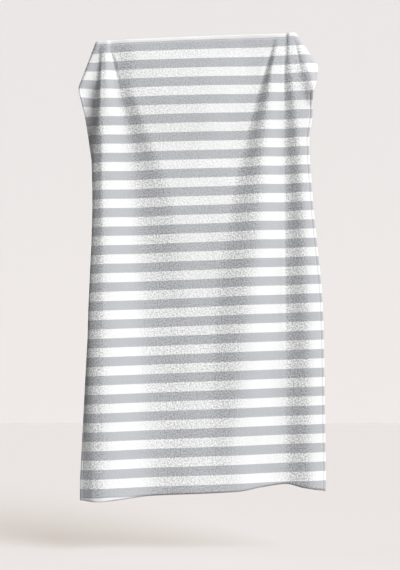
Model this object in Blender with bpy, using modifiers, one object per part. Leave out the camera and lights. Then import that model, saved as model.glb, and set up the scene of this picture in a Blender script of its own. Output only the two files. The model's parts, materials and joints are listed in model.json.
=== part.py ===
"""A striped terry beach towel, held up by its top edge so that it hangs open.

Metres, +Z up. The origin is the middle of the top edge, halfway between the two places where
the towel is held. Its front looks along -Y, with the right-hand side at +X.

The towel is one rectangle of cloth. It is built flat, from a grid whose columns follow the
folds. Each point then goes to its place in space, and Solidify gives the cloth its thickness.
A point of the flat cloth is (across, drop): the distance from the left side hem, and the
distance down from the top hem.
"""

import functools
import math

import bmesh
import bpy
import numpy as np

# The towel laid flat: 32 by 60 inches.
WIDTH = 0.813
LENGTH = 1.524
THICKNESS = 0.003

# The hems are the same cloth turned twice, so they are a little thicker.
SIDE_HEM = 0.010
END_HEM = 0.014
HEM_STEP = 0.003
HEM_THICKNESS = 0.0045

# Grey and white bands of one width cross the towel, with a narrow white band at each end.
BAND_COUNT = 49
END_BAND = 0.012
BAND = (LENGTH - 2 * END_BAND) / BAND_COUNT
WHITE = (0.80, 0.80, 0.80, 1.0)
GREY = (0.45, 0.455, 0.478, 1.0)
PILE_ROUGHNESS = 0.95

# The right-hand side is held higher: every crosswise row climbs this much for each metre of x.
ROW_CLIMB = 0.038

# The folds, from left to right. Each line has its x at the drops below, then its depth there:
# depth is +Y, so a positive one lies back and a negative one stands forward.
FOLD_DROPS = (0.00, 0.07, 0.15, 0.21, 0.27, 0.36, 0.55, 0.95, 1.45)
FOLD_LINES = {
    "left hem": (
        (-0.411, -0.408, -0.402, -0.389, -0.377, -0.363, -0.334, -0.363, -0.386),
        (0.013, 0.015, 0.019, 0.034, 0.071, 0.098, 0.100, 0.076, 0.049),
    ),
    "turned edge": (
        (-0.329, -0.330, -0.340, -0.350, -0.358, -0.355, -0.350, -0.363, -0.368),
        (0.011, 0.021, 0.033, 0.058, 0.065, 0.053, 0.047, 0.051, 0.039),
    ),
    "steep side": (
        (-0.314, -0.319, -0.323, -0.326, -0.328, -0.329, -0.329, -0.334, -0.337),
        (0.010, 0.012, 0.014, 0.018, 0.021, 0.025, 0.027, 0.028, 0.023),
    ),
    "left crest": (
        (-0.300, -0.305, -0.309, -0.311, -0.313, -0.316, -0.314, -0.309, -0.307),
        (0.008, 0.009, 0.011, 0.015, 0.017, 0.019, 0.021, 0.022, 0.018),
    ),
    "left trough": (
        (-0.292, -0.286, -0.271, -0.257, -0.244, -0.228, -0.204, -0.172, -0.150),
        (0.010, 0.013, 0.019, 0.023, 0.026, 0.030, 0.036, 0.041, 0.038),
    ),
    "soft crest": (
        (-0.225, -0.190, -0.215, -0.198, -0.177, -0.142, -0.075, -0.030, -0.010),
        (0.003, 0.002, 0.008, 0.007, 0.009, 0.012, 0.015, 0.027, 0.024),
    ),
    "middle": (
        (0.000, 0.010, 0.020, 0.010, 0.004, 0.000, 0.015, 0.006, 0.012),
        (0.002, 0.003, 0.003, 0.003, 0.006, 0.012, 0.015, 0.025, 0.023),
    ),
    "long foot": (
        (0.256, 0.238, 0.215, 0.194, 0.176, 0.151, 0.107, 0.050, 0.035),
        (0.010, 0.013, 0.014, 0.015, 0.016, 0.018, 0.015, 0.022, 0.022),
    ),
    "long crest": (
        (0.270, 0.257, 0.242, 0.236, 0.228, 0.218, 0.206, 0.160, 0.105),
        (0.011, 0.003, -0.004, -0.007, -0.006, -0.006, -0.010, -0.001, 0.019),
    ),
    "right trough": (
        (0.294, 0.290, 0.284, 0.285, 0.286, 0.286, 0.288, 0.289, 0.285),
        (0.011, 0.004, -0.001, -0.001, 0.001, 0.005, 0.005, 0.019, 0.042),
    ),
    "right crest": (
        (0.304, 0.306, 0.313, 0.320, 0.326, 0.334, 0.346, 0.363, 0.370),
        (0.005, -0.003, -0.011, -0.013, -0.012, -0.011, -0.013, 0.001, 0.023),
    ),
    "right hem": (
        (0.401, 0.400, 0.395, 0.380, 0.379, 0.367, 0.377, 0.411, 0.418),
        (0.011, 0.001, -0.008, -0.008, -0.007, -0.007, -0.008, 0.009, 0.030),
    ),
}

# Columns of the grid between one fold line and the next.
COLUMNS_BETWEEN = (3, 3, 2, 4, 4, 3, 3, 4, 3, 4, 3)
SECTION_STEPS = 24

# A short crease that runs down from the place where the right side is held.
# Start x, start drop, end x, end drop, half width, how far it stands forward.
CREASES = ((0.330, 0.01, 0.416, 0.31, 0.026, 0.011),)

# Rows of the grid. They lie closer together near the top.
BODY_ROWS = 29
ROW_CROWDING = 1.25
CURL_ROWS = 5

# Each top corner hangs folded behind, along a line from the top hem to the side hem. It bends
# round in a few steps, then lies a little open. A cut snaps to grid points nearer than SNAP.
CORNER_FOLDS = {
    "left": {"along_top": 0.067, "down_side": 0.160},
    "right": {"along_top": 0.071, "down_side": 0.104},
}
BEND_RADIUS = 0.008
BEND_STEPS = 4
CORNER_FLARE = 0.18
SNAP = 0.0005

# The bottom hem curls backwards. Across, and how far the lowest edge is raised by it there.
CURL_ACROSS = (0.00, 0.07, 0.13, 0.24, 0.52, 0.60, 0.68, 0.74, 0.813)
CURL_RAISES = (0.008, 0.0, 0.005, 0.014, 0.017, 0.028, 0.035, 0.021, 0.009)
CURL_RADIUS = 0.012
CURL_MOST_TURN = math.radians(150)


def smooth(knots, values, places):
    """The values at the places, on one smooth curve through every knot, level at each peak."""
    knots = np.asarray(knots, float)
    values = np.asarray(values, float)
    if values.ndim == 1:
        return smooth(knots, values[:, None], places)[:, 0]
    spans = np.diff(knots)[:, None]
    rates = np.diff(values, axis=0) / spans
    before, after = rates[:-1], rates[1:]
    level = before * after <= 0
    weight_before, weight_after = spans[:-1] + 2 * spans[1:], 2 * spans[:-1] + spans[1:]
    shared = weight_before / np.where(level, 1, before) + weight_after / np.where(level, 1, after)
    inner = np.where(level, 0, (weight_before + weight_after) / np.where(level, 1, shared))
    slopes = np.concatenate([rates[:1], inner, rates[-1:]])
    places = np.clip(places, knots[0], knots[-1])
    start = np.clip(np.searchsorted(knots, places, side="right") - 1, 0, len(knots) - 2)
    span = spans[start]
    t = (places - knots[start])[:, None] / span
    leave = (1 + 2 * t) * (1 - t) ** 2 * values[start]
    reach = t * t * (3 - 2 * t) * values[start + 1]
    bend = t * (1 - t) ** 2 * slopes[start] - t * t * (1 - t) * slopes[start + 1]
    return leave + reach + span * bend


@functools.lru_cache(maxsize=None)
def section(drop):
    """A crosswise row: how far across the cloth each of its points lies, their x and depth."""
    lines = np.array(list(FOLD_LINES.values()))
    line_x = smooth(FOLD_DROPS, lines[:, 0].T, np.array([drop]))[0]
    line_depth = smooth(FOLD_DROPS, lines[:, 1].T, np.array([drop]))[0]
    corners = np.stack([line_x, line_depth], axis=1)
    chord = np.concatenate([[0], np.cumsum(np.linalg.norm(np.diff(corners, axis=0), axis=1))])
    steps = np.arange((len(chord) - 1) * SECTION_STEPS + 1) / SECTION_STEPS
    places = np.interp(steps, np.arange(len(chord)), chord)
    points = smooth(chord, corners, places)
    for crease in CREASES:
        points[:, 1] -= crease_height(crease, points[:, 0], drop)
    across = np.concatenate([[0], np.cumsum(np.linalg.norm(np.diff(points, axis=0), axis=1))])
    across *= WIDTH / across[-1]
    return across, points, across[::SECTION_STEPS]


def crease_height(crease, x, drop):
    """How far a crease pushes the row at this drop forward: round across, fading to both ends."""
    start_x, start_drop, end_x, end_drop, half_width, height = crease
    along = (drop - start_drop) / (end_drop - start_drop)
    if not 0 < along < 1:
        return np.zeros_like(x)
    off = (x - (start_x + along * (end_x - start_x))) / half_width
    return height * math.sin(math.pi * along) * np.exp(-off * off)


def hang(across, drop):
    """Where a point of the cloth hangs, before the corners and the bottom hem turn back."""
    arc, points, _ = section(round(drop, 5))
    x = np.interp(across, arc, points[:, 0])
    depth = np.interp(across, arc, points[:, 1])
    return np.array([x, depth, ROW_CLIMB * x - drop])


def corner_line(side):
    """Across and drop of the fold's middle, and the unit direction out towards the corner."""
    fold = CORNER_FOLDS[side]
    out = np.array([-fold["down_side"], -fold["along_top"]])
    out /= np.linalg.norm(out)
    middle = np.array([fold["along_top"], fold["down_side"]]) / 2
    if side == "right":
        out[0] = -out[0]
        middle[0] = WIDTH - middle[0]
    return middle, out


def fold_corners(across, drop):
    """Fold the corners of the flat cloth: the point's new across and drop, and its depth."""
    for side in CORNER_FOLDS:
        middle, out = corner_line(side)
        past = np.dot([across, drop] - middle, out) + BEND_RADIUS * math.pi / 2
        if past <= 0:
            continue
        turn = min(past / BEND_RADIUS, math.pi)
        beyond = past - turn * BEND_RADIUS
        reach = BEND_RADIUS * math.sin(turn) - beyond
        depth = BEND_RADIUS * (1 - math.cos(turn)) + CORNER_FLARE * beyond
        across, drop = [across, drop] + (reach - past) * out
        return across, drop, depth
    return across, drop, 0.0


def curl_length(across):
    """How much of the cloth above the bottom edge is in the curl of its hem.

    Up to a quarter turn, an arc of the curl raises the edge by about the cube of its length.
    """
    raised = max(float(smooth(CURL_ACROSS, CURL_RAISES, np.array([across]))[0]), 0.0)
    quarter_turn = CURL_RADIUS * math.pi / 2
    raised_by_quarter = quarter_turn - CURL_RADIUS
    if raised > raised_by_quarter:
        return raised + CURL_RADIUS
    return quarter_turn * (raised / raised_by_quarter) ** (1 / 3)


def curl_hem(past):
    """Depth and rise of a point this far past the line where the hem starts to curl."""
    turn = min(past / CURL_RADIUS, CURL_MOST_TURN)
    beyond = past - turn * CURL_RADIUS
    depth = CURL_RADIUS * (1 - math.cos(turn)) + beyond * math.sin(turn)
    rise = -CURL_RADIUS * math.sin(turn) - beyond * math.cos(turn)
    return depth, rise


def place(across, drop):
    """Where a point of the flat cloth is on the towel as it hangs."""
    curl_start = LENGTH - curl_length(across)
    if drop > curl_start:
        depth, rise = curl_hem(drop - curl_start)
        return hang(across, curl_start) + [0, depth, rise]
    across, drop, depth = fold_corners(across, drop)
    return hang(across, drop) + [0, depth, 0]


def grid_rows(across):
    """The drops of the grid's rows at this distance across, down to the curled hem."""
    curl_top = LENGTH - max(curl_length(across), END_HEM + 2 * HEM_STEP)
    body = [curl_top * (k / BODY_ROWS) ** ROW_CROWDING for k in range(1, BODY_ROWS)]
    hem_top = LENGTH - END_HEM - HEM_STEP
    curl = [curl_top + (hem_top - curl_top) * k / CURL_ROWS for k in range(CURL_ROWS + 1)]
    top = [0.0, END_HEM, END_HEM + HEM_STEP]
    return top + body + curl + [LENGTH - END_HEM, LENGTH - END_HEM / 2, LENGTH]


def grid_columns(drop):
    """The distances across of the grid's columns at this drop, which follow the fold lines."""
    knots = section(round(drop, 5))[2].copy()
    knots[0] = SIDE_HEM + HEM_STEP
    knots[-1] = WIDTH - SIDE_HEM - HEM_STEP
    columns = [0.0, SIDE_HEM, knots[0]]
    for start, end, count in zip(knots, knots[1:], COLUMNS_BETWEEN):
        columns += [start + (end - start) * k / count for k in range(1, count + 1)]
    return columns + [WIDTH - SIDE_HEM, WIDTH]


def flat_cloth():
    """The flat cloth as a bmesh: x is the distance across, and y is the drop."""
    columns = sum(COLUMNS_BETWEEN) + 4
    rows = len(grid_rows(0.0)) - 1
    flat = bmesh.new()
    bmesh.ops.create_grid(flat, x_segments=columns, y_segments=rows, size=0.5)
    for vert in flat.verts:
        column = round((vert.co.x + 0.5) * columns)
        row = round((vert.co.y + 0.5) * rows)
        # A row's drop depends on the distance across, and the other way round.
        drop = grid_rows(WIDTH * column / columns)[row]
        for _ in range(3):
            across = grid_columns(drop)[column]
            drop = grid_rows(across)[row]
        vert.co = (across, drop, 0)
    for side in CORNER_FOLDS:
        middle, out = corner_line(side)
        for step in range(BEND_STEPS + 1):
            turn = math.pi * (step / BEND_STEPS - 0.5)
            across, drop = middle + out * turn * BEND_RADIUS
            bmesh.ops.bisect_plane(
                flat,
                geom=flat.verts[:] + flat.edges[:] + flat.faces[:],
                dist=SNAP,
                plane_co=(across, drop, 0),
                plane_no=(out[0], out[1], 0),
            )
    return flat


def in_hem(across, drop):
    """True on the hems, up to the line where each is sewn down."""
    side = min(across, WIDTH - across) < SIDE_HEM + HEM_STEP / 2
    end = min(drop, LENGTH - drop) < END_HEM + HEM_STEP / 2
    return side or end


def striped_terry():
    """White terry with grey bands. The bands follow the cloth's height and its slight climb."""
    material = bpy.data.materials.new("striped terry")
    material.use_nodes = True
    nodes, links = material.node_tree.nodes, material.node_tree.links
    surface = nodes["Principled BSDF"]
    surface.inputs["Roughness"].default_value = PILE_ROUGHNESS
    surface.inputs["Metallic"].default_value = 0.0

    def node(operation, *values):
        step = nodes.new("ShaderNodeMath")
        step.operation = operation
        for socket, value in zip(step.inputs, values):
            if isinstance(value, (int, float)):
                socket.default_value = value
            else:
                links.new(value, socket)
        return step.outputs[0]

    axes = nodes.new("ShaderNodeSeparateXYZ")
    links.new(nodes.new("ShaderNodeTexCoord").outputs["Object"], axes.inputs[0])
    drop = node("SUBTRACT", node("MULTIPLY", axes.outputs["X"], ROW_CLIMB), axes.outputs["Z"])
    pairs = node("DIVIDE", node("SUBTRACT", drop, END_BAND), 2 * BAND)
    is_white = node("GREATER_THAN", node("FRACT", pairs), 0.5)
    mix = nodes.new("ShaderNodeMix")
    mix.data_type = "RGBA"
    mix.inputs["A"].default_value = GREY
    mix.inputs["B"].default_value = WHITE
    links.new(is_white, mix.inputs["Factor"])
    links.new(mix.outputs["Result"], surface.inputs["Base Color"])
    return material


def make_towel(collection):
    """The towel as one solid: the cloth in its folds, thicker at the hems."""
    cloth = flat_cloth()
    hem_weights = cloth.verts.layers.deform.verify()
    for vert in cloth.verts:
        across, drop = vert.co.x, vert.co.y
        if in_hem(across, drop):
            vert[hem_weights][0] = 1.0
        vert.co = place(across, drop)
    bmesh.ops.triangulate(cloth, faces=[f for f in cloth.faces if len(f.verts) > 4])
    mesh = bpy.data.meshes.new("towel")
    cloth.to_mesh(mesh)
    cloth.free()
    mesh.shade_smooth()
    mesh.materials.append(striped_terry())
    towel = bpy.data.objects.new("towel", mesh)
    collection.objects.link(towel)
    towel.vertex_groups.new(name="hem")
    thickness = towel.modifiers.new("cloth thickness", "SOLIDIFY")
    thickness.thickness = HEM_THICKNESS
    thickness.offset = 0.0
    thickness.vertex_group = "hem"
    thickness.thickness_vertex_group = THICKNESS / HEM_THICKNESS
    thickness.use_quality_normals = True
    return towel


def main():
    for old in list(bpy.data.objects):
        bpy.data.objects.remove(old, do_unlink=True)
    collection = bpy.data.collections.new("Beach towel")
    bpy.context.scene.collection.children.link(collection)
    make_towel(collection)


main()
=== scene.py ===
"""The looks of a striped terry beach towel that hangs open, held up by its top edge.

Metres, +Z up. The origin is the middle of the towel's top edge, and its front looks along -Y.

The towel is one rectangle of cloth. A point of the flat cloth is (across, drop): the distance
from the left side hem, and the distance down from the top hem. place() says where it hangs.
The cloth's grid, its seams and its bands of colour are all laid out on the flat cloth.
"""

import functools
import json
import math
import types

import bmesh
import bpy
import numpy as np
from mathutils import Matrix, Vector, noise


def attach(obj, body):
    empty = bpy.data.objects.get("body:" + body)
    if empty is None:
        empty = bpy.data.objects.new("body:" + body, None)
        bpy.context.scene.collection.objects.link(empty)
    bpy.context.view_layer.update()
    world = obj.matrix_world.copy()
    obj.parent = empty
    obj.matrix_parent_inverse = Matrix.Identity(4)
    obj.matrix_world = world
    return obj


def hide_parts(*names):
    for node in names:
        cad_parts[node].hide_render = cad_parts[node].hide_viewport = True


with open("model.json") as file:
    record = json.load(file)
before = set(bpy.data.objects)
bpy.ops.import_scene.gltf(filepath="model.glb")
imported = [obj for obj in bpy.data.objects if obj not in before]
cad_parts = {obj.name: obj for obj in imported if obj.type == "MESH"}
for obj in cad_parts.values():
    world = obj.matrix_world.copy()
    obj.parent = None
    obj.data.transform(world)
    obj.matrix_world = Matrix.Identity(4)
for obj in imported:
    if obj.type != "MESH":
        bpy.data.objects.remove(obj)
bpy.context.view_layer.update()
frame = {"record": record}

bl_info = {
    "name": "Hanging Beach Towel",
    "version": (1, 0, 0),
    "blender": (4, 5, 0),
    "location": "3D View > Sidebar > Beach Towel",
    "description": "Dresses the solid of a hanging beach towel in striped terry with sewn hems",
    "category": "Object",
}

STITCHING = "hem_stitching"

# The frame's one solid, and the name of its node.
SUBPART = frame["record"]["subparts"][0]
NODE = SUBPART["node"]

# The map that keeps each point's place on the flat cloth, and what else is kept at each point:
# how much of the pile is there, and its shading share, which sets its painted light and shade.
CLOTH_MAP = "flat cloth"
PILE = "pile"
SHADING = "nap"

# The towel laid flat.
WIDTH = 0.813
LENGTH = 1.524

# How much a crosswise row climbs for each metre to the right, for rows at these drops.
CLIMB_DROPS = (0.00, 0.10, 0.45, 0.95)
ROW_CLIMBS = (0.042, 0.027, 0.027, 0.038)

# The cloth left of the left fold is pulled up towards the corner: how far, at these drops, and
# the x where the pull is full and where it ends.
PULL_DROPS = (0.10, 0.24, 0.45)
PULLS = (0.0, 0.0095, 0.0)
PULL_X = (-0.355, -0.335)

# The folds, from left to right. Each line has its x at the drops below, then its depth there:
# depth is +Y, so a positive one lies back and a negative one stands forward.
FOLD_DROPS = (0.00, 0.07, 0.15, 0.21, 0.27, 0.36, 0.55, 0.95, 1.45)
FOLD_LINES = {
    "left hem": (
        (-0.411, -0.408, -0.402, -0.389, -0.377, -0.363, -0.334, -0.363, -0.386),
        (0.013, 0.015, 0.019, 0.034, 0.071, 0.098, 0.100, 0.076, 0.049),
    ),
    "turned edge": (
        (-0.329, -0.330, -0.340, -0.350, -0.358, -0.355, -0.350, -0.363, -0.368),
        (0.011, 0.021, 0.033, 0.058, 0.065, 0.053, 0.047, 0.051, 0.039),
    ),
    "steep side": (
        (-0.314, -0.319, -0.323, -0.326, -0.328, -0.329, -0.329, -0.334, -0.337),
        (0.010, 0.012, 0.014, 0.018, 0.021, 0.025, 0.027, 0.028, 0.023),
    ),
    "left crest": (
        (-0.300, -0.305, -0.309, -0.311, -0.313, -0.316, -0.314, -0.309, -0.307),
        (0.008, 0.009, 0.011, 0.015, 0.017, 0.019, 0.021, 0.022, 0.018),
    ),
    "left trough": (
        (-0.292, -0.286, -0.271, -0.257, -0.244, -0.228, -0.204, -0.172, -0.150),
        (0.010, 0.013, 0.019, 0.023, 0.026, 0.030, 0.036, 0.041, 0.038),
    ),
    "soft crest": (
        (-0.225, -0.190, -0.215, -0.198, -0.177, -0.142, -0.075, -0.030, -0.010),
        (0.003, 0.002, 0.008, 0.007, 0.009, 0.012, 0.015, 0.027, 0.024),
    ),
    "middle": (
        (0.000, 0.010, 0.020, 0.010, 0.004, 0.000, 0.015, 0.006, 0.012),
        (0.002, 0.003, 0.003, 0.003, 0.006, 0.012, 0.015, 0.025, 0.023),
    ),
    "long foot": (
        (0.256, 0.238, 0.215, 0.194, 0.176, 0.151, 0.107, 0.050, 0.035),
        (0.010, 0.013, 0.014, 0.015, 0.016, 0.018, 0.015, 0.022, 0.022),
    ),
    "long crest": (
        (0.270, 0.257, 0.242, 0.236, 0.228, 0.218, 0.206, 0.160, 0.105),
        (0.011, 0.003, -0.004, -0.007, -0.006, -0.006, -0.010, -0.001, 0.019),
    ),
    "right trough": (
        (0.294, 0.290, 0.284, 0.285, 0.286, 0.286, 0.288, 0.289, 0.285),
        (0.011, 0.004, -0.001, -0.001, 0.001, 0.005, 0.005, 0.019, 0.042),
    ),
    "right crest": (
        (0.304, 0.306, 0.313, 0.320, 0.326, 0.334, 0.346, 0.363, 0.370),
        (0.005, -0.003, -0.011, -0.013, -0.012, -0.011, -0.013, 0.001, 0.023),
    ),
    "right hem": (
        (0.401, 0.400, 0.395, 0.380, 0.379, 0.367, 0.377, 0.411, 0.418),
        (0.011, 0.001, -0.008, -0.008, -0.007, -0.007, -0.008, 0.009, 0.030),
    ),
}

# How finely the hung surface is worked out from the lines, before the grid is laid on it.
SECTION_POINTS = 1200
SURFACE_ROWS = 500
SURFACE_COLUMNS = 700

# Soft creases, standing forward by their height, or lying back where it is negative.
# Start x, start drop, end x, end drop, half width, height, where along it is highest.
CREASES = (
    (0.330, 0.01, 0.416, 0.31, 0.026, 0.014, 0.6),
    (-0.320, 0.04, -0.326, 0.34, 0.004, 0.002, 0.4),
    (0.288, 0.03, 0.286, 0.34, 0.005, -0.0015, 0.3),
    (0.286, 0.30, 0.290, 1.25, 0.007, -0.0012, 0.5),
    (-0.303, 0.01, -0.301, 0.10, 0.004, -0.001, 0.4),
    (-0.298, 0.00, -0.251, 0.20, 0.007, -0.003, 0.5),
    (0.266, 0.00, 0.203, 0.18, 0.010, -0.0025, 0.5),
    (0.319, 0.01, 0.345, 0.14, 0.004, -0.0025, 0.4),
    (-0.290, 0.02, -0.262, 0.09, 0.005, 0.002, 0.4),
    (-0.281, 0.02, -0.278, 0.07, 0.004, -0.002, 0.3),
)
# How wide a crease still is at its ends, as a share of its full width.
CREASE_END_WIDTH = 0.3

# Each top corner hangs folded behind, along a line from the top hem to the side hem. Past the
# bend it leans away from the towel by its flare, in metres for each metre.
CORNER_FOLDS = {
    "left": {"along_top": 0.067, "down_side": 0.160},
    "right": {"along_top": 0.071, "down_side": 0.104},
}
BEND_RADIUS = 0.008
CORNER_FLARE = 0.18

# The bottom hem curls backwards: how far it raises the lowest edge, at these places across.
CURL_ACROSS = (0.00, 0.07, 0.13, 0.24, 0.52, 0.60, 0.68, 0.74, 0.813)
CURL_RAISES = (0.008, 0.0, 0.005, 0.014, 0.017, 0.028, 0.035, 0.021, 0.009)
CURL_RADIUS = 0.006
CURL_MOST_TURN = math.radians(150)
# How far up from the bottom edge the grid's rows lie closer together, and how close.
CURL_REACH = 0.045
CURL_CELL = 0.002

# How thick the cloth is across a hem, as a share of the cloth's thickness, at these shares of
# the hem's width: rolled edge, flat turned band, groove under the seam, first row of loops.
HEM_PLACES = (0.00, 0.12, 0.45, 0.80, 0.92, 1.06, 1.18, 1.45)
HEM_SHARES = (0.90, 1.30, 1.40, 1.35, 0.85, 0.80, 0.96, 1.00)
# The stitches lie at this share of the hem's width. Where two hems cross, the cloth is no
# thicker than this share of its thickness.
SEAM_PLACE = 0.99
MOST_SHARE = 2.0

# How far a slope turns left, away from the key light, sets its shading share: 0 where it faces
# right at this angle or more, 1 where it faces as far to the left. The share sets how much painted
# light and shade the pile gets, and how strong its relief is.
SHADING_ANGLE = math.radians(10)


def smooth(knots, values, places):
    """The values at the places, on one smooth curve through every knot, level at each peak.

    Elsewhere a knot's slope is a weighted harmonic mean of the slopes on its two sides, so the
    curve never swings past a knot.
    """
    knots = np.asarray(knots, float)
    values = np.asarray(values, float)
    if values.ndim == 1:
        return smooth(knots, values[:, None], places)[:, 0]
    spans = np.diff(knots)[:, None]
    rates = np.diff(values, axis=0) / spans
    before, after = rates[:-1], rates[1:]
    level = before * after <= 0
    weight_before, weight_after = spans[:-1] + 2 * spans[1:], 2 * spans[:-1] + spans[1:]
    shared = weight_before / np.where(level, 1, before) + weight_after / np.where(level, 1, after)
    inner = np.where(level, 0, (weight_before + weight_after) / np.where(level, 1, shared))
    slopes = np.concatenate([rates[:1], inner, rates[-1:]])
    places = np.clip(places, knots[0], knots[-1])
    start = np.clip(np.searchsorted(knots, places, side="right") - 1, 0, len(knots) - 2)
    span = spans[start]
    t = (places - knots[start])[:, None] / span
    leave = (1 + 2 * t) * (1 - t) ** 2 * values[start]
    reach = t * t * (3 - 2 * t) * values[start + 1]
    bend = t * (1 - t) ** 2 * slopes[start] - t * t * (1 - t) * slopes[start + 1]
    return leave + reach + span * bend


def lengths_along(points):
    """How far along the line of points each of them lies."""
    return np.concatenate([[0], np.cumsum(np.linalg.norm(np.diff(points, axis=0), axis=1))])


@functools.lru_cache(maxsize=1)
def fold_surface():
    """x and depth of the hung cloth, at even steps of drop and then of distance across."""
    drops = np.linspace(0, LENGTH, SURFACE_ROWS)
    across = np.linspace(0, WIDTH, SURFACE_COLUMNS)
    lines = np.array(list(FOLD_LINES.values()))
    line_x = smooth(FOLD_DROPS, lines[:, 0].T, drops)
    line_depth = smooth(FOLD_DROPS, lines[:, 1].T, drops)
    surface = np.empty((SURFACE_ROWS, SURFACE_COLUMNS, 2))
    for row, knots in enumerate(np.stack([line_x, line_depth], axis=2)):
        chord = lengths_along(knots)
        points = smooth(chord, knots, np.linspace(0, chord[-1], SECTION_POINTS))
        reached = lengths_along(points)
        reached *= WIDTH / reached[-1]
        for axis in range(2):
            surface[row, :, axis] = np.interp(across, reached, points[:, axis])
    return surface


def crease_relief(x, drop):
    """How far the creases push the cloth forward: round across, tapering to both ends."""
    relief = np.zeros_like(x)
    for start_x, start_drop, end_x, end_drop, half_width, height, peak in CREASES:
        run = np.array([end_x - start_x, end_drop - start_drop])
        length = np.linalg.norm(run)
        from_start = np.stack([x - start_x, drop - start_drop])
        along = np.clip(run @ from_start / length**2, 0, 1)
        fade = np.interp(along, (0, peak, 1), (0, 1, 0))
        off = (run[1] * from_start[0] - run[0] * from_start[1]) / length
        off /= half_width * (CREASE_END_WIDTH + (1 - CREASE_END_WIDTH) * fade)
        relief += height * fade * fade * (3 - 2 * fade) * np.exp(-off * off)
    return relief


def hang(across, drop):
    """Where points of the cloth hang, before the corners and the bottom hem turn back."""
    surface = fold_surface()
    down = np.clip(drop / LENGTH, 0, 1) * (SURFACE_ROWS - 1)
    along = np.clip(across / WIDTH, 0, 1) * (SURFACE_COLUMNS - 1)
    row = np.minimum(down.astype(int), SURFACE_ROWS - 2)
    column = np.minimum(along.astype(int), SURFACE_COLUMNS - 2)
    down, along = (down - row)[:, None], (along - column)[:, None]
    above = surface[row, column] * (1 - along) + surface[row, column + 1] * along
    below = surface[row + 1, column] * (1 - along) + surface[row + 1, column + 1] * along
    x, depth = (above * (1 - down) + below * down).T
    pull = smooth(PULL_DROPS, PULLS, drop) * np.interp(x, PULL_X, (1, 0))
    z = np.interp(drop, CLIMB_DROPS, ROW_CLIMBS) * x - drop + pull
    return np.stack([x, depth - crease_relief(x, drop), z], axis=1)


def corner_line(side):
    """Across and drop of the fold's middle, and the unit direction out towards the corner."""
    fold = CORNER_FOLDS[side]
    out = np.array([-fold["down_side"], -fold["along_top"]])
    out /= np.linalg.norm(out)
    middle = np.array([fold["along_top"], fold["down_side"]]) / 2
    if side == "right":
        out[0] = -out[0]
        middle[0] = WIDTH - middle[0]
    return middle, out


def fold_corners(across, drop):
    """Fold the corners of the flat cloth: the points' new across and drop, and their depth.

    Half of the bend's cloth lies before the fold line, and half past it.
    """
    depth = np.zeros_like(across)
    for side in CORNER_FOLDS:
        middle, out = corner_line(side)
        past = (across - middle[0]) * out[0] + (drop - middle[1]) * out[1]
        past = np.maximum(past + BEND_RADIUS * math.pi / 2, 0)
        turn = np.minimum(past / BEND_RADIUS, math.pi)
        beyond = past - turn * BEND_RADIUS
        shift = BEND_RADIUS * np.sin(turn) - beyond - past
        depth += BEND_RADIUS * (1 - np.cos(turn)) + CORNER_FLARE * beyond
        across, drop = across + shift * out[0], drop + shift * out[1]
    return across, drop, depth


def curl_length(across):
    """How much of the cloth above the bottom edge is in the curl of its hem.

    Up to a quarter turn, an arc of the curl raises the edge by about the cube of its length.
    """
    raised = np.maximum(smooth(CURL_ACROSS, CURL_RAISES, across), 0)
    quarter_turn = CURL_RADIUS * math.pi / 2
    raised_by_quarter = quarter_turn - CURL_RADIUS
    short = quarter_turn * (raised / raised_by_quarter) ** (1 / 3)
    return np.where(raised > raised_by_quarter, raised + CURL_RADIUS, short)


def place(across, drop):
    """Where points of the flat cloth are on the towel as it hangs, one row for each."""
    curl_start = LENGTH - curl_length(across)
    past = np.maximum(drop - curl_start, 0)
    turn = np.minimum(past / CURL_RADIUS, CURL_MOST_TURN)
    beyond = past - turn * CURL_RADIUS
    curl_depth = CURL_RADIUS * (1 - np.cos(turn)) + beyond * np.sin(turn)
    curl_rise = -CURL_RADIUS * np.sin(turn) - beyond * np.cos(turn)
    across, drop, corner_depth = fold_corners(across, np.minimum(drop, curl_start))
    places = hang(across, drop)
    places[:, 1] += corner_depth + curl_depth
    places[:, 2] += curl_rise
    return places


def place_frames(across, drop):
    """Places on the hung cloth, with its unit directions across, down, and out of its front."""
    step = 0.001
    places = place(across, drop)
    rightward = place(across + step, drop) - place(across - step, drop)
    downward = place(across, drop + step) - place(across, drop - step)
    rightward /= np.linalg.norm(rightward, axis=1)[:, None]
    downward /= np.linalg.norm(downward, axis=1)[:, None]
    outward = np.cross(downward, rightward)
    outward /= np.linalg.norm(outward, axis=1)[:, None]
    return places, rightward, downward, outward


def hem_places(across, drop, settings):
    """How far in from the nearest side and end, each as a share of the hem's width there."""
    side = np.minimum(across, WIDTH - across) / settings.side_hem
    end = np.minimum(drop, LENGTH - drop) / settings.end_hem
    return side, end


def thickness_share(across, drop, settings):
    """The cloth's thickness there, as a share of its thickness away from the hems."""
    side, end = hem_places(across, drop, settings)
    share = np.interp(side, HEM_PLACES, HEM_SHARES) * np.interp(end, HEM_PLACES, HEM_SHARES)
    return np.minimum(share, MOST_SHARE)


def grid_places(full, hem, cell):
    """Where the grid's lines lie: close together over both hems, and even between them."""
    over_hem = np.array(HEM_PLACES) * hem
    cells = round((full - 2 * over_hem[-1]) / cell)
    body = np.linspace(over_hem[-1], full - over_hem[-1], cells + 1)
    return np.concatenate([over_hem[:-1], body, full - over_hem[-2::-1]])


def make_piece(name, mesh, material):
    """An object of this mesh at the origin, which rides on the towel's one body."""
    mesh.materials.clear()
    mesh.materials.append(material)
    piece = bpy.data.objects.new(name, mesh)
    bpy.context.scene.collection.objects.link(piece)
    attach(piece, "root")
    return piece


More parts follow.
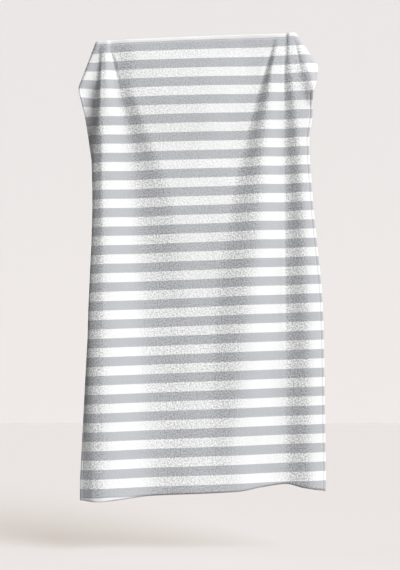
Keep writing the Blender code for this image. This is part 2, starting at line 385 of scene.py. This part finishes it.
def flat_grid(settings):
    """The flat cloth as a bmesh: x is the distance across, and y is the drop."""
    columns = grid_places(WIDTH, settings.side_hem, settings.cell_across)
    rows = grid_places(LENGTH, settings.end_hem, settings.cell_down)
    for upper, lower in zip(rows[:-1], rows[1:]):
        if lower > LENGTH - CURL_REACH:
            cells = math.ceil((lower - upper) / CURL_CELL)
            rows = np.union1d(rows, np.linspace(upper, lower, cells, endpoint=False))
    flat = bmesh.new()
    bmesh.ops.create_grid(flat, x_segments=len(columns) - 1, y_segments=len(rows) - 1, size=0.5)
    for vert in flat.verts:
        column = round((vert.co.x + 0.5) * (len(columns) - 1))
        row = round((vert.co.y + 0.5) * (len(rows) - 1))
        vert.co = (columns[column], rows[row], 0)
    return flat


def hung_sheet(settings):
    """The cloth's middle surface as it hangs, with its flat map and its share of thickness."""
    cloth = flat_grid(settings)
    cloth_map = cloth.loops.layers.uv.new(CLOTH_MAP)
    weights = cloth.verts.layers.deform.verify()
    pile = cloth.verts.layers.float.new(PILE)
    nap = cloth.verts.layers.float.new(SHADING)
    for face in cloth.faces:
        for loop in face.loops:
            loop[cloth_map].uv = loop.vert.co.xy
    across, drop = np.array([vert.co.xy for vert in cloth.verts]).T
    shares = thickness_share(across, drop, settings)
    past_hem = np.minimum(*hem_places(across, drop, settings))
    piled = np.clip((past_hem - 1) / (HEM_PLACES[-1] - 1), 0, 1)
    places, _, _, outward = place_frames(across, drop)
    # The shading share: how far each slope turns left, away from the key light.
    rough = np.clip((1 - outward[:, 0] / math.sin(SHADING_ANGLE)) / 2, 0, 1)
    for vert, co, share, loops, turned_from_key in zip(cloth.verts, places, shares, piled, rough):
        vert.co = co
        vert[weights][0] = share / MOST_SHARE
        vert[pile] = loops
        vert[nap] = turned_from_key
    mesh = bpy.data.meshes.new("towel sheet")
    cloth.to_mesh(mesh)
    cloth.free()
    return mesh


def thicken(mesh, settings):
    """The sheet as a closed cloth with two faces, thicker over its hems."""
    sheet = bpy.data.objects.new("towel sheet", mesh)
    bpy.context.scene.collection.objects.link(sheet)
    sheet.vertex_groups.new(name="thickness")
    solidify = sheet.modifiers.new("thickness", "SOLIDIFY")
    solidify.thickness = settings.thickness * MOST_SHARE
    solidify.offset = 0.0
    solidify.vertex_group = "thickness"
    solidify.use_quality_normals = True
    evaluated = sheet.evaluated_get(bpy.context.evaluated_depsgraph_get())
    cloth = bpy.data.meshes.new_from_object(evaluated)
    bpy.data.objects.remove(sheet)
    return cloth


def dent_depth(co, facing, settings):
    """How far a wide soft dent pushes a point back, less where the cloth faces sideways."""
    return settings.dent_depth * noise.noise(co / settings.dent_size) * abs(facing)


def rumple(mesh, settings):
    """Move the cloth's points a little: wide soft dents, then clumps of loops on the pile."""
    cloth = bmesh.new()
    cloth.from_mesh(mesh)
    pile = cloth.verts.layers.float[PILE]
    cloth.normal_update()
    moves = []
    for vert in cloth.verts:
        dent = dent_depth(vert.co, vert.normal.y, settings)
        clump = settings.clump_height * noise.noise(vert.co / settings.clump_size) * vert[pile]
        moves.append(Vector((0, dent, 0)) + vert.normal * clump)
    for vert, move in zip(cloth.verts, moves):
        vert.co += move
    cloth.to_mesh(mesh)
    cloth.free()


def seam_lines(cloth, stitches):
    """Across and drop of the middle of each stitch: along both side hems, then both end hems."""
    side, end = SEAM_PLACE * cloth.side_hem, SEAM_PLACE * cloth.end_hem
    down_side = np.arange(end, LENGTH - end, stitches.pitch)
    along_end = np.arange(side, WIDTH - side, stitches.pitch)
    side_lines = [(np.full_like(down_side, across), down_side) for across in (side, WIDTH - side)]
    end_lines = [(along_end, np.full_like(along_end, drop)) for drop in (end, LENGTH - end)]
    return side_lines, end_lines


def stitch_shape(stitches):
    """One stitch as a small oval bead: its points, long in x and standing out in z, and faces."""
    bead = bmesh.new()
    bmesh.ops.create_uvsphere(bead, u_segments=6, v_segments=4, radius=0.5)
    size = (stitches.height, stitches.width, stitches.length)
    bmesh.ops.scale(bead, verts=bead.verts, vec=size)
    bmesh.ops.rotate(bead, verts=bead.verts, matrix=Matrix.Rotation(math.pi / 2, 3, "Y"))
    points = np.array([vert.co for vert in bead.verts])
    faces = [[vert.index for vert in face.verts] for face in bead.faces]
    bead.free()
    return points, faces


def sew(cloth, stitches):
    """A mesh of all the stitches, on the front and the back of the cloth."""
    bead, bead_faces = stitch_shape(stitches)
    points = []
    for lines, runs_down in zip(seam_lines(cloth, stitches), (True, False)):
        for across, drop in lines:
            places, rightward, downward, outward = place_frames(across, drop)
            places[:, 1] += [dent_depth(Vector(p), n[1], cloth) for p, n in zip(places, outward)]
            along = downward if runs_down else rightward
            half = cloth.thickness * thickness_share(across, drop, cloth)[:, None] / 2
            for out in (outward, -outward):
                axes = np.stack([along, np.cross(out, along), out], axis=1)
                points.append((places + half * out)[:, None] + bead @ axes)
    points = np.concatenate(points).reshape(-1, 3)
    starts = range(0, len(points), len(bead))
    faces = [[start + index for index in face] for start in starts for face in bead_faces]
    mesh = bpy.data.meshes.new(STITCHING)
    mesh.from_pydata(points, [], faces)
    mesh.shade_smooth()
    return mesh


def add_node(tree, kind, inputs=None, **settings):
    """A new shader node with these settings, and each input set to a value or to a socket."""
    node = tree.nodes.new("ShaderNode" + kind)
    for name, value in settings.items():
        setattr(node, name, value)
    for name, value in (inputs or {}).items():
        if isinstance(value, bpy.types.NodeSocket):
            tree.links.new(value, node.inputs[name])
        else:
            node.inputs[name].default_value = value
    return node


def calculate(tree, operation, *values):
    """A Math node's result."""
    return add_node(tree, "Math", dict(enumerate(values)), operation=operation).outputs[0]


def ramp(tree, value, start, end, low=0.0, high=1.0):
    """Low up to the start and high past the end, with a soft step between them."""
    inputs = {"Value": value, "From Min": start, "From Max": end, "To Min": low, "To Max": high}
    return add_node(tree, "MapRange", inputs, interpolation_type="SMOOTHSTEP").outputs[0]


def mix_colours(tree, factor, first, second, blend="MIX"):
    """The two colours mixed, or blended in another way, by the factor."""
    node = add_node(tree, "Mix", {"Factor": factor}, data_type="RGBA", blend_type=blend)
    for name, value in (("A", first), ("B", second)):
        socket = next(s for s in node.inputs if s.name == name and s.type == "RGBA")
        if isinstance(value, bpy.types.NodeSocket):
            tree.links.new(value, socket)
        else:
            socket.default_value = value
    return next(s for s in node.outputs if s.type == "RGBA")


def new_material(name):
    """An empty node material: the material, its tree and its Principled shader."""
    material = bpy.data.materials.new(name)
    material.use_nodes = True
    return material, material.node_tree, material.node_tree.nodes["Principled BSDF"]


# Where the terry's patterns start and end: the pile, as a share of the hem's width; the painted
# shade in the gap between loops, as a share of the way from one loop to the next; and the painted
# light and shade of the clumps, and the wash, as levels of their noise. The wash, an uneven tone
# of the cloth, takes this share of its lightness off at most.
PILE_START, PILE_FULL = 1.0, 1.2
GAP_START, GAP_FULL = 0.35, 0.75
CLUMP_START, CLUMP_FULL = 0.36, 0.62
WASH_START, WASH_FULL = 0.3, 0.7
WASH_SHADE = 0.02
# The bands' wave swings from -1 to 1, and their edges are soft where it is this close to 0. The
# edges wander by this many metres for each unit of the clumps' noise.
BAND_STEP = 0.05
BAND_WANDER = 0.0016
# The heights of the clumps and of the hems' weave, beside a height of 1 for the loops.
CLUMP_RELIEF = 1.5
WEAVE_RELIEF = 0.15


def noise_pattern(tree, places, size, detail):
    """Soft noise, with spots of about this size."""
    inputs = {"Vector": places, "Scale": 1 / size, "Detail": detail}
    return add_node(tree, "TexNoise", inputs).outputs[0]


def terry_patterns(tree, settings):
    """The patterns that the terry's colour and relief are made from, laid on the flat cloth."""
    flat = add_node(tree, "UVMap", uv_map=CLOTH_MAP).outputs[0]
    across, drop, _ = add_node(tree, "SeparateXYZ", {0: flat}).outputs
    side = calculate(tree, "MINIMUM", across, calculate(tree, "SUBTRACT", WIDTH, across))
    end = calculate(tree, "MINIMUM", drop, calculate(tree, "SUBTRACT", LENGTH, drop))
    past_side = calculate(tree, "DIVIDE", side, settings.side_hem)
    past_end = calculate(tree, "DIVIDE", end, settings.end_hem)
    past_hem = calculate(tree, "MINIMUM", past_side, past_end)
    cells = {"Vector": flat, "Scale": 1 / settings.loop_size, "Randomness": 0.8}
    return types.SimpleNamespace(
        across=across,
        drop=drop,
        pile=ramp(tree, past_hem, PILE_START, PILE_FULL),
        nap=add_node(tree, "Attribute", attribute_name=SHADING).outputs["Fac"],
        loops=add_node(tree, "TexVoronoi", cells).outputs["Distance"],
        clumps=noise_pattern(tree, flat, settings.clump_size, detail=3.0),
        wash=noise_pattern(tree, flat, settings.dent_size, detail=2.0),
    )


def band_colour(tree, cloth, settings):
    """White and grey bands in turn, between the narrow white bands at the two ends."""
    band = (LENGTH - 2 * settings.end_band) / settings.band_count
    off_middle = calculate(tree, "SUBTRACT", cloth.clumps, 0.5)
    wander = calculate(tree, "MULTIPLY", off_middle, BAND_WANDER)
    at = calculate(tree, "SUBTRACT", calculate(tree, "ADD", cloth.drop, wander), settings.end_band)
    wave = calculate(tree, "SINE", calculate(tree, "MULTIPLY", at, math.pi / band))
    grey = ramp(tree, wave, -BAND_STEP, BAND_STEP)
    return mix_colours(tree, grey, (*settings.white, 1), (*settings.grey, 1))


def painted_shade_and_wash(tree, cloth, settings):
    """How light the cloth is beside the colour of its bands: an uneven wash, plus painted light on
    clumps of loops and painted shade in the gaps, on the pile where slopes turn from the key
    light.
    """
    # Painted shade in the gaps between loops, and painted light and shade on clumps of loops, on
    # the pile where slopes turn from the key light.
    painted_shade_between_loops = ramp(tree, cloth.loops, GAP_START, GAP_FULL, 0.0, settings.painted_gap_shade)
    shade = settings.painted_clump_shading
    painted_clump_light = ramp(tree, cloth.clumps, CLUMP_START, CLUMP_FULL, -shade, shade)
    painted_light_and_shade = calculate(tree, "SUBTRACT", painted_clump_light, painted_shade_between_loops)
    shaded_pile = calculate(tree, "MULTIPLY", cloth.nap, cloth.pile)
    painted_pile_shading = calculate(tree, "MULTIPLY", shaded_pile, painted_light_and_shade)
    wash_light = ramp(tree, cloth.wash, WASH_START, WASH_FULL, 1.0, 1.0 - WASH_SHADE)
    return calculate(tree, "ADD", painted_pile_shading, wash_light)


def terry_relief(tree, cloth, settings):
    """The bumps of the surface: looped pile in the body, and a fine weave in the hems."""
    threads = 2 * math.pi / settings.thread_pitch
    weft = calculate(tree, "SINE", calculate(tree, "MULTIPLY", cloth.across, threads))
    warp = calculate(tree, "SINE", calculate(tree, "MULTIPLY", cloth.drop, threads))
    weave = calculate(tree, "MULTIPLY", calculate(tree, "MULTIPLY", weft, warp), WEAVE_RELIEF)
    raised_loops = calculate(tree, "SUBTRACT", 1.0, cloth.loops)
    raised_clumps = calculate(tree, "MULTIPLY", cloth.clumps, CLUMP_RELIEF)
    fluffy = calculate(tree, "ADD", raised_loops, raised_clumps)
    height = add_node(tree, "Mix", {"Factor": cloth.pile, "A": weave, "B": fluffy}).outputs[0]
    strength = ramp(tree, cloth.nap, 0.0, 1.0, settings.smooth_relief, settings.rough_relief)
    inputs = {"Height": height, "Strength": strength, "Distance": settings.loop_height}
    return add_node(tree, "Bump", inputs).outputs[0]


def terry_material(settings):
    """White terry with grey bands, its pile and its flat hems in one material."""
    material, tree, surface = new_material("striped terry")
    surface.inputs["Roughness"].default_value = 0.92
    surface.inputs["Specular IOR Level"].default_value = 0.2
    surface.inputs["Sheen Weight"].default_value = 0.15
    surface.inputs["Sheen Roughness"].default_value = 0.6
    cloth = terry_patterns(tree, settings)
    bands = band_colour(tree, cloth, settings)
    # The bands' colour times the wash and the pile's painted light and shade.
    colour = mix_colours(tree, 1.0, bands, painted_shade_and_wash(tree, cloth, settings), blend="MULTIPLY")
    tree.links.new(colour, surface.inputs["Base Color"])
    tree.links.new(terry_relief(tree, cloth, settings), surface.inputs["Normal"])
    return material


def thread_material(stitches):
    """Plain matt white sewing thread."""
    material, _, surface = new_material("sewing thread")
    surface.inputs["Base Color"].default_value = (*stitches.colour, 1)
    surface.inputs["Roughness"].default_value = 0.7
    return material


# The level of the floor, the wall's distance behind the towel, the height up to which its
# colour changes, and how far each panel reaches from its middle.
FLOOR_Z = -1.70
WALL_Y = 10.75
WALL_SEEN_TO = 3.1
STAGE_REACH = 14.0
# The floor's glow and the screens shine as if this much light fell on them.
STAGE_LIGHT = 1.14


def shine(surface, colour):
    """Make the surface shine in this colour."""
    surface.inputs["Emission Color"].default_value = (*colour, 1)
    surface.inputs["Emission Strength"].default_value = STAGE_LIGHT


def floor_material(settings):
    """A matt floor with a glow of its own, which keeps the shadows on it faint."""
    material, _, surface = new_material("studio floor")
    glow = [share * part for share, part in zip(settings.floor_glow, settings.floor)]
    shaded = [part - glowing for part, glowing in zip(settings.floor, glow)]
    surface.inputs["Base Color"].default_value = (*shaded, 1)
    surface.inputs["Roughness"].default_value = 0.9
    surface.inputs["Specular IOR Level"].default_value = 0.0
    shine(surface, glow)
    return material


def wall_material(settings):
    """A matt wall that darkens a little upwards."""
    material, tree, surface = new_material("studio wall")
    place_on = add_node(tree, "TexCoord").outputs["Object"]
    height = add_node(tree, "SeparateXYZ", {0: place_on}).outputs[2]
    high = ramp(tree, height, FLOOR_Z, WALL_SEEN_TO)
    colour = mix_colours(tree, high, (*settings.wall, 1), (*settings.wall_top, 1))
    tree.links.new(colour, surface.inputs["Base Color"])
    surface.inputs["Roughness"].default_value = 0.9
    return material


def screen_material(settings):
    """A screen that only shines, in the wall's colour."""
    material, _, surface = new_material("studio screen")
    surface.inputs["Base Color"].default_value = (0, 0, 0, 1)
    surface.inputs["Specular IOR Level"].default_value = 0.0
    shine(surface, settings.wall)
    return material


def add_panel(name, material, matrix):
    """A big square of the backdrop, which lights nothing itself."""
    panel = bmesh.new()
    bmesh.ops.create_grid(panel, x_segments=1, y_segments=1, size=STAGE_REACH, matrix=matrix)
    mesh = bpy.data.meshes.new(name)
    panel.to_mesh(mesh)
    panel.free()
    mesh.materials.append(material)
    backdrop = bpy.data.objects.new(name, mesh)
    backdrop.visible_diffuse = False
    bpy.context.scene.collection.objects.link(backdrop)
    return backdrop


def upright(turn, away):
    """The place of a wall that stands on the floor this far away, turned about the middle."""
    raise_up = Matrix.Translation((0, away, FLOOR_Z + STAGE_REACH))
    return Matrix.Rotation(turn, 4, "Z") @ raise_up @ Matrix.Rotation(math.pi / 2, 4, "X")


def add_backdrop(settings):
    """A level floor, a wall behind the towel, and pale screens on the other three sides."""
    add_panel("studio_floor", floor_material(settings), Matrix.Translation((0, 0, FLOOR_Z)))
    add_panel("studio_wall", wall_material(settings), upright(0, WALL_Y))
    pale = screen_material(settings)
    for side, turn in (("left", math.pi / 2), ("front", math.pi), ("right", -math.pi / 2)):
        screen = add_panel("studio_screen_" + side, pale, upright(turn, STAGE_REACH))
        screen.visible_shadow = False
        screen.visible_glossy = False


# How high the fill light stands.
FILL_ELEVATION = math.radians(20)
# The even light changes from its strength below to its strength above over this part of the
# sky on each side of the horizon, where straight up is 1.
HORIZON_STEP = 0.1


def add_lamp(scene, name, strength, azimuth, elevation, spread):
    """A wide light that stands this far round to the right and this high."""
    light = bpy.data.lights.new(name, "SUN")
    light.energy = strength
    light.angle = spread
    lamp = bpy.data.objects.new(name, light)
    scene.collection.objects.link(lamp)
    towards = Vector((
        math.sin(azimuth) * math.cos(elevation),
        -math.cos(azimuth) * math.cos(elevation),
        math.sin(elevation),
    ))
    lamp.rotation_euler = towards.to_track_quat("Z", "Y").to_euler()
    return light


def even_light(settings):
    """Even light from all around, stronger from below, where it comes off a pale floor."""
    world = bpy.data.worlds.new("studio")
    world.use_nodes = True
    tree = world.node_tree
    direction = add_node(tree, "TexCoord").outputs["Generated"]
    upward = add_node(tree, "SeparateXYZ", {0: direction}).outputs[2]
    strength = ramp(tree, upward, -HORIZON_STEP, HORIZON_STEP, settings.bounce, settings.sky)
    sky = tree.nodes["Background"]
    sky.inputs["Color"].default_value = (1, 1, 1, 1)
    tree.links.new(strength, sky.inputs["Strength"])
    return world


def add_lights(scene, settings):
    """A main light from the front right, a fill light behind, and even light from all around."""
    spread = settings.key_spread
    azimuth, elevation = settings.key_azimuth, settings.key_elevation
    add_lamp(scene, "key light", settings.key_strength, azimuth, elevation, spread)
    fill = add_lamp(scene, "fill light", settings.fill_strength, math.pi, FILL_ELEVATION, spread)
    fill.use_shadow = False
    scene.world = even_light(settings)
    scene.view_settings.view_transform = "Standard"
    scene.view_settings.look = "None"


# The camera stands square to the towel and looks up at it a little.
CAMERA_PLACE = (0.007, -4.193, -1.115)
CAMERA_TILT = math.radians(3.911)
CAMERA_LENS = 80.96
CAMERA_SENSOR = 36.0


def add_camera(scene):
    """The camera, at the photograph's viewing angle."""
    camera = bpy.data.cameras.new("camera")
    camera.sensor_width = CAMERA_SENSOR
    camera.lens = CAMERA_LENS
    stand = bpy.data.objects.new("camera", camera)
    stand.location = CAMERA_PLACE
    stand.rotation_euler = (math.pi / 2 + CAMERA_TILT, 0, 0)
    scene.collection.objects.link(stand)
    scene.camera = stand


class TowelClothSettings(bpy.types.PropertyGroup):
    """Sizes, colours and surface of the towel's cloth."""

    thickness: bpy.props.FloatProperty(
        name="Thickness", description="The cloth with its loops", default=0.003, unit="LENGTH"
    )
    side_hem: bpy.props.FloatProperty(
        name="Side hem", description="Width of the side hems", default=0.010, unit="LENGTH"
    )
    end_hem: bpy.props.FloatProperty(
        name="End hem", description="Width of the end hems", default=0.014, unit="LENGTH"
    )
    band_count: bpy.props.IntProperty(
        name="Bands", description="Grey and white bands between the two ends", default=49
    )
    end_band: bpy.props.FloatProperty(
        name="End band", description="Narrow white band at each end", default=0.012, unit="LENGTH"
    )
    white: bpy.props.FloatVectorProperty(
        name="White", description="Colour of the white bands", default=(0.80, 0.80, 0.80),
        subtype="COLOR",
    )
    grey: bpy.props.FloatVectorProperty(
        name="Grey", description="Colour of the grey bands", default=(0.45, 0.455, 0.478),
        subtype="COLOR",
    )
    cell_across: bpy.props.FloatProperty(
        name="Cell across", description="Width of the grid's cells", default=0.0036,
        unit="LENGTH",
    )
    cell_down: bpy.props.FloatProperty(
        name="Cell down", description="Height of the grid's cells", default=0.0085,
        unit="LENGTH",
    )
    loop_size: bpy.props.FloatProperty(
        name="Loop size", description="From one loop to the next", default=0.0024, unit="LENGTH"
    )
    loop_height: bpy.props.FloatProperty(
        name="Loop height", description="How far the loops stand up", default=0.0025,
        unit="LENGTH",
    )
    smooth_relief: bpy.props.FloatProperty(
        name="Smooth relief", description="Share of the loops' relief where the nap is smooth",
        default=0.2,
    )
    rough_relief: bpy.props.FloatProperty(
        name="Rough relief", description="Share of the loops' relief where the nap is rough",
        default=0.38,
    )
    # Painted shade in the gaps between loops.
    painted_gap_shade: bpy.props.FloatProperty(
        name="Gap shade", description="How much darker it is between loops", default=0.08
    )
    # Painted light on clumps of loops, and painted shade in the gaps between them.
    painted_clump_shading: bpy.props.FloatProperty(
        name="Clump shade", description="How much lighter clumps of loops are, and gaps darker",
        default=0.25,
    )
    thread_pitch: bpy.props.FloatProperty(
        name="Thread pitch", description="From one thread to the next in the hems",
        default=0.0011, unit="LENGTH",
    )
    clump_size: bpy.props.FloatProperty(
        name="Clump size", description="Size of the clumps of loops", default=0.0052,
        unit="LENGTH",
    )
    clump_height: bpy.props.FloatProperty(
        name="Clump height", description="How far clumps of loops stand up", default=0.0004,
        unit="LENGTH",
    )
    dent_size: bpy.props.FloatProperty(
        name="Dent size", description="Size of the wide soft dents", default=0.07,
        unit="LENGTH",
    )
    dent_depth: bpy.props.FloatProperty(
        name="Dent depth", description="Depth of the wide soft dents", default=0.0012,
        unit="LENGTH",
    )


class TowelStitchSettings(bpy.types.PropertyGroup):
    """Sizes and colour of the stitches that hold the hems down."""

    pitch: bpy.props.FloatProperty(
        name="Pitch", description="From one stitch to the next", default=0.0032, unit="LENGTH"
    )
    length: bpy.props.FloatProperty(
        name="Length", description="Length of a stitch", default=0.0026, unit="LENGTH"
    )
    width: bpy.props.FloatProperty(
        name="Width", description="Width of a stitch", default=0.0007, unit="LENGTH"
    )
    height: bpy.props.FloatProperty(
        name="Height", description="Thickness of the thread", default=0.0006, unit="LENGTH"
    )
    colour: bpy.props.FloatVectorProperty(
        name="Colour", description="Colour of the thread", default=(0.78, 0.78, 0.78),
        subtype="COLOR",
    )


class StageSettings(bpy.types.PropertyGroup):
    """Colours and light of the studio."""

    wall: bpy.props.FloatVectorProperty(
        name="Wall", description="Colour of the wall at its foot", default=(0.756, 0.717, 0.702),
        subtype="COLOR",
    )
    wall_top: bpy.props.FloatVectorProperty(
        name="Wall top", description="Colour of the wall high up", default=(0.720, 0.697, 0.688),
        subtype="COLOR",
    )
    floor: bpy.props.FloatVectorProperty(
        name="Floor", description="Colour of the floor", default=(0.727, 0.690, 0.670),
        subtype="COLOR",
    )
    floor_glow: bpy.props.FloatVectorProperty(
        name="Floor glow", description="Share of the floor's red, green and blue in a full shadow",
        default=(0.69, 0.655, 0.595), subtype="COLOR",
    )
    key_strength: bpy.props.FloatProperty(
        name="Key light", description="Strength of the main light", default=4.95
    )
    key_azimuth: bpy.props.FloatProperty(
        name="Key azimuth", description="How far to the right the main light stands",
        default=math.radians(45), subtype="ANGLE",
    )
    key_elevation: bpy.props.FloatProperty(
        name="Key elevation", description="How high the main light stands",
        default=math.radians(35), subtype="ANGLE",
    )
    key_spread: bpy.props.FloatProperty(
        name="Key spread", description="How wide the main light looks, which softens shadows",
        default=math.radians(40), subtype="ANGLE",
    )
    fill_strength: bpy.props.FloatProperty(
        name="Fill light", description="Strength of the light from behind", default=1.8
    )
    sky: bpy.props.FloatProperty(
        name="Sky", description="Strength of the even light from above", default=0.04
    )
    bounce: bpy.props.FloatProperty(
        name="Bounce", description="Strength of the even light from below, off the floor",
        default=0.40,
    )


class TOWEL_OT_cloth(bpy.types.Operator):
    """Hang the cloth in its folds and give it its hems and its striped terry"""

    bl_idname = "towel.cloth"
    bl_label = "Hang Cloth"

    def execute(self, context):
        settings = context.scene.towel_cloth
        mesh = thicken(hung_sheet(settings), settings)
        rumple(mesh, settings)
        mesh.shade_smooth()
        cloth = make_piece("terry_cloth", mesh, terry_material(settings))
        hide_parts(NODE)
        return {"FINISHED"}


class TOWEL_OT_stitching(bpy.types.Operator):
    """Sew the hems down with a row of stitches, before the cloth is hung"""

    bl_idname = "towel.stitching"
    bl_label = "Sew Hems"

    def execute(self, context):
        stitches = context.scene.towel_stitches
        mesh = sew(context.scene.towel_cloth, stitches)
        make_piece(STITCHING, mesh, thread_material(stitches))
        return {"FINISHED"}


class TOWEL_OT_stage(bpy.types.Operator):
    """Set up the floor, the wall, the light and the camera"""

    bl_idname = "towel.stage"
    bl_label = "Set Up Stage"

    def execute(self, context):
        settings = context.scene.towel_stage
        add_backdrop(settings)
        add_lights(context.scene, settings)
        add_camera(context.scene)
        return {"FINISHED"}


class TOWEL_PT_panel(bpy.types.Panel):
    """The beach towel's settings and operators"""

    bl_idname = "TOWEL_PT_panel"
    bl_label = "Beach Towel"
    bl_space_type = "VIEW_3D"
    bl_region_type = "UI"
    bl_category = "Beach Towel"

    def draw(self, context):
        for group, operator in (
            ("towel_stitches", TOWEL_OT_stitching),
            ("towel_cloth", TOWEL_OT_cloth),
            ("towel_stage", TOWEL_OT_stage),
        ):
            settings = getattr(context.scene, group)
            box = self.layout.box()
            for name in settings.__annotations__:
                box.prop(settings, name)
            box.operator(operator.bl_idname)


CLASSES = (
    TowelClothSettings,
    TowelStitchSettings,
    StageSettings,
    TOWEL_OT_cloth,
    TOWEL_OT_stitching,
    TOWEL_OT_stage,
    TOWEL_PT_panel,
)


def register():
    """Add the classes to Blender, and the settings to its scenes."""
    for cls in CLASSES:
        bpy.utils.register_class(cls)
    bpy.types.Scene.towel_cloth = bpy.props.PointerProperty(type=TowelClothSettings)
    bpy.types.Scene.towel_stitches = bpy.props.PointerProperty(type=TowelStitchSettings)
    bpy.types.Scene.towel_stage = bpy.props.PointerProperty(type=StageSettings)


def unregister():
    """Take the settings and the classes out again."""
    del bpy.types.Scene.towel_stage
    del bpy.types.Scene.towel_stitches
    del bpy.types.Scene.towel_cloth
    for cls in reversed(CLASSES):
        bpy.utils.unregister_class(cls)


def main():
    """Set up the stage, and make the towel."""
    register()
    bpy.ops.towel.stage()
    bpy.ops.towel.stitching()
    bpy.ops.towel.cloth()


if __name__ == "__main__":
    main()
